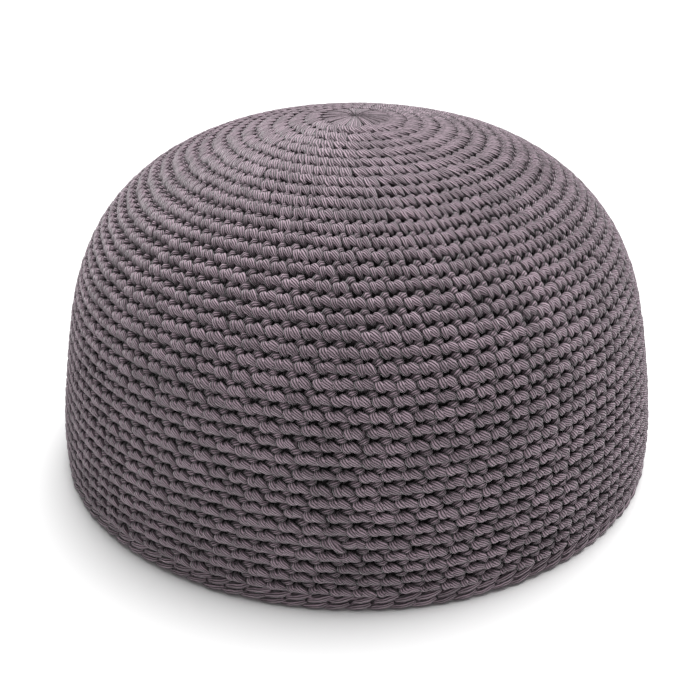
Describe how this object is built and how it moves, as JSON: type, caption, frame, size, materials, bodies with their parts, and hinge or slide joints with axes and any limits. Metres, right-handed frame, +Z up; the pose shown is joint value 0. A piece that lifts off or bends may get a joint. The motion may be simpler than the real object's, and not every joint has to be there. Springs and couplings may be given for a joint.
{
  "type": "kufi",
  "caption": "Round brimless crocheted kufi: a domed cap of ribbed cotton rounds, open below for the head, finished with a slip-stitch edge that it rests on.",
  "frame": {"origin": "centre of the rim's underside, on the surface that the cap rests on", "axes": "+Z up the cap's axis through the crown centre; the picture looks along +Y, with +X to its right"},
  "size_m": [0.185, 0.185, 0.103],
  "materials": {
    "cotton_yarn": "matte mauve-grey multi-ply cotton yarn, crocheted, with dark gaps between the rounds and pinholes at the stitches"
  },
  "bodies": {
    "root": {"cap_body": "cotton_yarn", "edge_chain": "cotton_yarn"}
  },
  "joints": []
}
